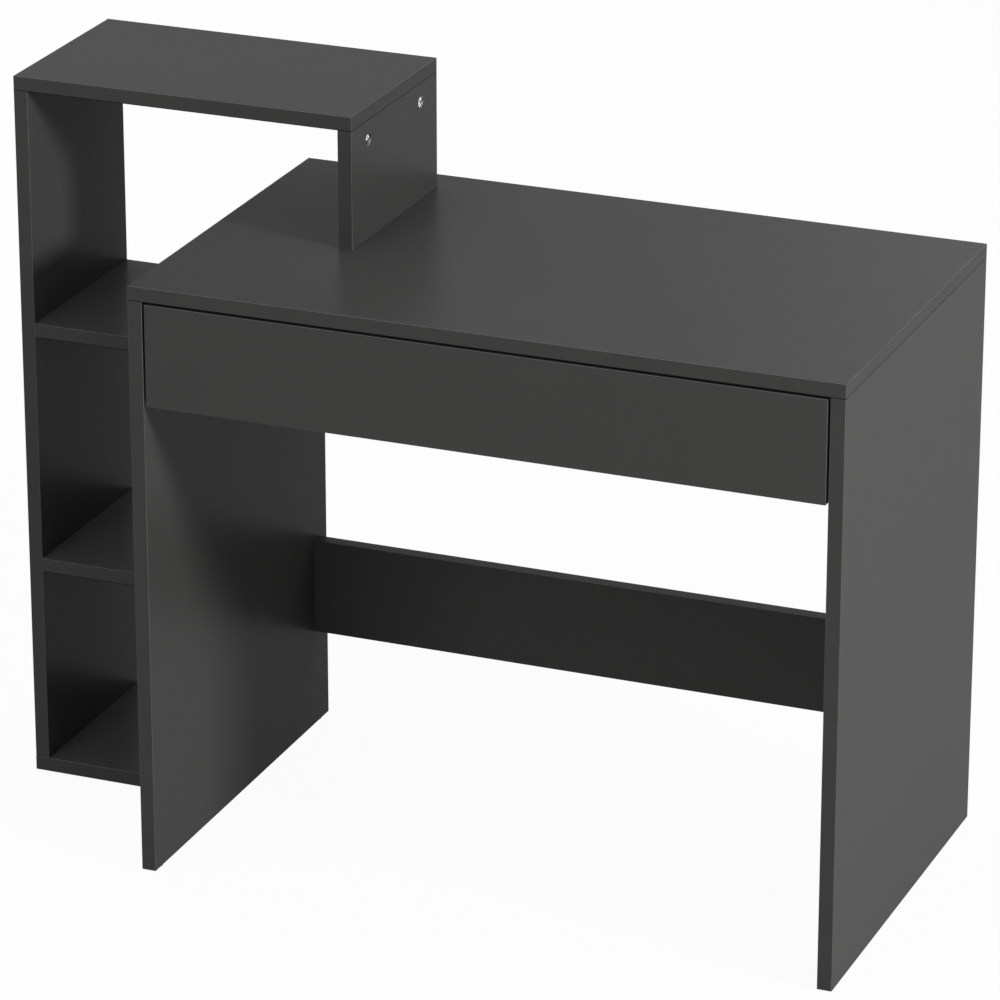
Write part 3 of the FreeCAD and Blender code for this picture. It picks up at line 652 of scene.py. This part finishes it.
def solids_of(node):
    """The lowest and highest corners of each separate solid in a construction node, in a fixed order."""
    work = bmesh.new()
    work.from_mesh(frame["nodes"][node].data)
    bmesh.ops.remove_doubles(work, verts=work.verts, dist=WELD)
    loose = set(work.verts)
    found = []
    while loose:
        front = [loose.pop()]
        points = []
        while front:
            vertex = front.pop()
            points.append(vertex.co.copy())
            fresh = {edge.other_vert(vertex) for edge in vertex.link_edges} & loose
            loose -= fresh
            front.extend(fresh)
        found.append([Vector([pick(point[axis] for point in points) for axis in range(3)])
                      for pick in (min, max)])
    work.free()
    return sorted(found, key=lambda corners: tuple(round(part, 5) for part in corners[0]))


# How the nuts of each node lie: which way the head faces, and which way the bolt comes from.
# A tilde means away from the middle of the node.
NUT_LIE = {
    "desk_left_side_cam_nuts": ("+X", "+Z"),
    "desk_right_side_cam_nuts": ("-X", "+Z"),
    "stretcher_cam_nuts": ("+Y", "~X"),
    "shelf_cam_nuts": ("-Z", "~X"),
    "base_cam_nuts": ("-Z", "+X"),
    "bookcase_tall_side_cam_nuts": ("-X", "+Z"),
    "top_shelf_upright_cam_nuts": ("+X", "+Z"),
    "drawer_cam_nuts": ("~X", "-Y"),
}
print("cam nuts:", {node: len(solids_of(node)) for node in NUT_LIE})

# %% [markdown]
# A nut is drawn as rings, from the head over the rim and down the drum, with skin between them. Two rings
# step inwards where the bolt comes in, which makes the mouth. The head is filled between its first ring and
# the outline of the cross, and the cross narrows towards its floor, as the tip of a screwdriver does.

# %% Loops and skins
MM = 0.001


def add_loop(work, lie, points):
    return [work.verts.new(lie @ Vector(point) * MM) for point in points]


def skin(work, first, second):
    for index in range(len(first)):
        work.faces.new((first[index - 1], first[index], second[index], second[index - 1]))


def edges_of(work, loop):
    return [work.edges.get((loop[index - 1], loop[index])) or work.edges.new((loop[index - 1], loop[index]))
            for index in range(len(loop))]


def cross_outline(half, reach, turned):
    """The twelve corners of a cross, going round."""
    corner = [(half, half), (reach, half), (reach, -half)]
    points = []
    for quarter in range(4):
        angle = turned - quarter * math.pi / 2
        points += [(x * math.cos(angle) - y * math.sin(angle), x * math.sin(angle) + y * math.cos(angle))
                   for x, y in corner]
    return points


print("a cross has", len(cross_outline(1.0, 2.0, 0.0)), "corners")

# %% Shape one nut
ROUND = 72                                     # sides of the nut's circles; its sizes are in millimetres
DOME = 19.0                                    # radius of the domed head
HEAD_RINGS = (4.3, 5.3, 6.2)                   # radii of the rings on the head
RIM_RINGS = ((6.3, 1.5), (6.9, 1.5), (7.0, 0.35), (7.2, 0.25))    # radius and depth, from the groove outwards
DRUM, DRUM_TOP, DRUM_CHAMFER = 7.5, 0.60, 0.4
BOLT_OVER_FOOT = 4.5                           # from the drum's foot to the bolt's middle
MOUTH_HALF = 3.4                               # half the mouth's height
MOUTH_FLOOR, MOUTH_LIP = 4.4, 0.02             # radius of the mouth's floor, and the step of its edges
MOUTH_TURN = math.radians(52)                  # how far the mouth opens to each side of the bolt
CROSS_TOP, CROSS_FLOOR = (1.0, 4.0), (0.65, 2.8)    # half the width of an arm, and its reach
CROSS_DEPTH = 2.8


def dome(radius):
    return DOME - math.sqrt(DOME ** 2 - radius ** 2)


def add_nut(work, lie, depth, turned):
    """One nut, in its own frame: X towards the bolt and Z out of the head."""
    angles = [index * math.tau / ROUND for index in range(ROUND)]

    def ring(radius, down, mouth=None):
        return add_loop(work, lie, [
            (reach * math.cos(angle), reach * math.sin(angle), -down)
            for angle in angles
            for reach in [mouth if mouth and abs(math.remainder(angle, math.tau)) < MOUTH_TURN else radius]])

    upper = depth - BOLT_OVER_FOOT - MOUTH_HALF
    lower = depth - BOLT_OVER_FOOT + MOUTH_HALF
    head = [(radius, dome(radius)) for radius in HEAD_RINGS]
    mouth = [(DRUM, upper), (DRUM, upper + MOUTH_LIP, MOUTH_FLOOR),
             (DRUM, lower - MOUTH_LIP, MOUTH_FLOOR), (DRUM, lower)]
    foot = [(DRUM, depth - DRUM_CHAMFER), (DRUM - DRUM_CHAMFER, depth)]
    rings = [ring(*values) for values in [*head, *RIM_RINGS, (DRUM, DRUM_TOP), *mouth, *foot]]
    for first, second in zip(rings, rings[1:]):
        skin(work, first, second)
    work.faces.new(rings[-1])
    top = add_loop(work, lie, [(x, y, -dome(math.hypot(x, y))) for x, y in cross_outline(*CROSS_TOP, turned)])
    bottom = add_loop(work, lie, [(x, y, -CROSS_DEPTH) for x, y in cross_outline(*CROSS_FLOOR, turned)])
    head_edges = edges_of(work, rings[0]) + edges_of(work, top)
    bmesh.ops.triangle_fill(work, use_beauty=True, edges=head_edges, normal=lie.to_3x3() @ Vector((0, 0, 1)))
    skin(work, top, bottom)
    work.faces.new(bottom)


print("a nut of", ROUND, "sides")

# %% [markdown]
# A finished mesh becomes a piece that stands for a node of the construction: it takes the node's finish and
# moves with the node's body. Angles above a limit stay sharp, so drums look round and rims look cut. Each
# nut was left at another turn by the screwdriver.

# %% Set the nuts
SHARP = math.radians(28)
FIRST_TURN, NEXT_TURN = 17, 31                 # degrees


def add_piece(name, work, node, flat=()):
    """A finished mesh as a piece in a node's place. Its faces are shaded smooth but for those in flat."""
    bmesh.ops.recalc_face_normals(work, faces=work.faces)
    work.faces.index_update()
    flat_places = [face.index for face in flat]
    mesh = bpy.data.meshes.new(name)
    work.to_mesh(mesh)
    work.free()
    mesh.set_sharp_from_angle(angle=SHARP)
    for place in flat_places:
        mesh.polygons[place].use_smooth = False
    mesh.materials.append(finish_for(node))
    piece = bpy.data.objects.new(name, mesh)
    scene.collection.objects.link(piece)
    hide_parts(node)
    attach(piece, body_of[node])
    return piece


def direction(words, place, middle):
    """A unit vector from a sign and an axis letter."""
    index = AXES.index(words[1])
    signs = {"+": 1.0, "-": -1.0, "~": math.copysign(1.0, place[index] - middle[index])}
    return Vector([signs[words[0]] if axis == index else 0.0 for axis in range(3)])


def set_nuts(node, words):
    work = bmesh.new()
    middle = sum(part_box(node), Vector()) / 2
    for count, (low, high) in enumerate(solids_of(node)):
        place = (low + high) / 2
        out, toward = [direction(word, place, middle) for word in words]
        axis = max(range(3), key=lambda index: abs(out[index]))
        depth = (high - low)[axis]
        lie = Matrix((toward, out.cross(toward), out)).transposed().to_4x4()
        lie.translation = (place + out * depth / 2) / MM
        add_nut(work, lie, depth / MM, math.radians(FIRST_TURN + NEXT_TURN * count))
    return add_piece("die_cast_" + node, work, node)


for node, words in NUT_LIE.items():
    nuts = set_nuts(node, words)
    print(nuts.name, len(nuts.data.polygons), "faces")

# %% [markdown]
# ## Rolled drawer rails
#
# With the drawer out, the inner rails show along its box and the outer rails along the desk's sides. A rail
# is strip steel, rolled into a channel with a groove along each edge for the balls, and punched with round
# and slotted holes so that it can be set straight before the last screw goes in. Strip has one thickness all
# over, so a rail is drawn as a thin surface: bent strips along both edges, and a flat web filled between its
# outline and its holes. A Solidify modifier then gives it the thickness of the sheet, also round the rims of
# the holes.

# %% Sections of the rails
SHEET = 1.2                                    # millimetres, as all sizes of the rails
BALLS_AT = 7.3                                 # from the desk's side to the balls
GROOVE_HALF, GROOVE_DEEP = 2.0, 0.6
BEND = 1.5
WEB_MARGIN = 1.9                               # from a rail's edge to its flat web
INNER_TIP, INNER_WEB, INNER_EDGE = 5.0, 12.1, 11.0
OUTER_WEB, OUTER_LIP, OUTER_EDGE, LIP_TIP = 0.6, 11.3, 16.3, 13.0
ARC_STEPS = 8


def arc(u, w, across, up, first, last):
    """Points of an arc round a centre, between two angles in degrees."""
    angles = [math.radians(first + (last - first) * step / ARC_STEPS) for step in range(ARC_STEPS + 1)]
    return [(u + across * math.cos(angle), w + up * math.sin(angle)) for angle in angles]


def inner_section():
    """The upper half of an inner rail, from its open edge over the groove to the web."""
    groove = arc(BALLS_AT, INNER_EDGE, GROOVE_HALF, -GROOVE_DEEP, 180, 0)
    bend = arc(INNER_WEB - BEND, INNER_EDGE - BEND, BEND, BEND, 90, 0)
    return [(INNER_TIP, INNER_EDGE)] + groove + bend + [(INNER_WEB, INNER_EDGE - WEB_MARGIN)]


def outer_section():
    """The upper half of an outer rail, from its lip over the groove to the web."""
    lip = arc(OUTER_LIP - BEND, OUTER_EDGE - BEND, BEND, BEND, 0, 90)
    groove = arc(BALLS_AT, OUTER_EDGE, GROOVE_HALF, GROOVE_DEEP, 0, 180)
    bend = arc(OUTER_WEB + BEND, OUTER_EDGE - BEND, BEND, BEND, 90, 180)
    return [(OUTER_LIP, LIP_TIP)] + lip + groove + bend + [(OUTER_WEB, OUTER_EDGE - WEB_MARGIN)]


sections = {"inner": inner_section(), "outer": outer_section()}
print("points in a section:", {kind: len(points) for kind, points in sections.items()})

# %% Holes of the rails
HOLE_SIDES = 24
SCREW_HOLE = 2.1                               # half sizes of the holes
PLAIN, LONG, TALL = 2.3, 6.0, 4.2
PUNCHED = [(0.15, LONG, PLAIN), (0.22, PLAIN, TALL), (0.31, PLAIN, PLAIN), (0.41, LONG, PLAIN),
           (0.60, PLAIN, PLAIN), (0.69, PLAIN, TALL), (0.79, LONG, PLAIN), (0.86, PLAIN, PLAIN)]


def slot_outline(web, along_at, half_length, half_height):
    """A round-ended hole in the web. Equal halves make it a round hole."""
    radius = min(half_length, half_height)
    points = []
    for step in range(HOLE_SIDES):
        turn = (step + 0.5) * math.tau / HOLE_SIDES
        shift_along = math.copysign(half_length - radius, math.cos(turn))
        shift_up = math.copysign(half_height - radius, math.sin(turn))
        points.append((web, along_at + shift_along + radius * math.cos(turn),
                       shift_up + radius * math.sin(turn)))
    return points


print("punched holes in a rail:", len(PUNCHED))

# %% Roll the rails
NEAR_WALL = 40                                 # a rail's own screws are nearer to the desk's side than this


def roll_rail(side, hand, kind):
    """One rail of a slide. Sections start at the desk's side, and hand says which way they look along X."""
    node = "%s_%s_rail" % (side, kind)
    section = sections[kind]
    web = section[-1][0]
    low, high = [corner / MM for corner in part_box(node)]
    length = high.y - low.y
    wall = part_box("desk_%s_side" % side)[1 if hand > 0 else 0].x / MM
    lie = Matrix.Translation((wall, low.y, (low.z + high.z) / 2)) @ Matrix.Diagonal((hand, 1, 1, 1))
    work = bmesh.new()
    web_ends = []
    for up in (1, -1):
        lines = [add_loop(work, lie, [(u, y, w * up) for y in (0, length)]) for u, w in section]
        for first, second in zip(lines, lines[1:]):
            work.faces.new((first[0], first[1], second[1], second[0]))
        web_ends.append(lines[-1])
    screws = [(corners[0] + corners[1]) / 2 / MM for corners in solids_of(kind + "_rail_screws")]
    holes = [slot_outline(web, share * length, half_length, half_height)
             for share, half_length, half_height in PUNCHED]
    holes += [slot_outline(web, place.y - low.y, SCREW_HOLE, SCREW_HOLE)
              for place in screws if abs(place.x - wall) < NEAR_WALL]
    loops = [web_ends[0] + web_ends[1][::-1]] + [add_loop(work, lie, points) for points in holes]
    edges = [edge for loop in loops for edge in edges_of(work, loop)]
    filled = bmesh.ops.triangle_fill(work, use_beauty=True, edges=edges, normal=Vector((1, 0, 0)))
    web_faces = [part for part in filled["geom"] if isinstance(part, bmesh.types.BMFace)]
    rail = add_piece("rolled_" + node, work, node, flat=web_faces)
    sheet = rail.modifiers.new("sheet", "SOLIDIFY")
    sheet.thickness = SHEET * MM
    sheet.offset = 0.0
    return rail


for side, hand in (("left", 1), ("right", -1)):
    for kind in sections:
        rail = roll_rail(side, hand, kind)
        print(rail.name, len(rail.data.polygons), "faces before the sheet's thickness")

# %% [markdown]
# ## Ground balls
#
# Ten steel balls run in each cage, between the grooves of the two rails. A ball is ground round and has no
# poles. A sphere made of rings crowds thin triangles together at its two poles, while an icosphere spreads
# nearly equal ones all over, so it catches the light evenly. The construction gives each ball's place and
# radius.

# %% Set the balls
BALL_FINENESS = 4                              # 1 is an icosahedron, and each step divides its triangles


def set_balls(node):
    work = bmesh.new()
    for low, high in solids_of(node):
        place = Matrix.Translation((low + high) / 2)
        radius = (high.z - low.z) / 2
        bmesh.ops.create_icosphere(work, subdivisions=BALL_FINENESS, radius=radius, matrix=place)
    return add_piece("ground_" + node, work, node)


for node in ("left_slide_balls", "right_slide_balls"):
    balls = set_balls(node)
    print(balls.name, len(balls.data.polygons), "faces")
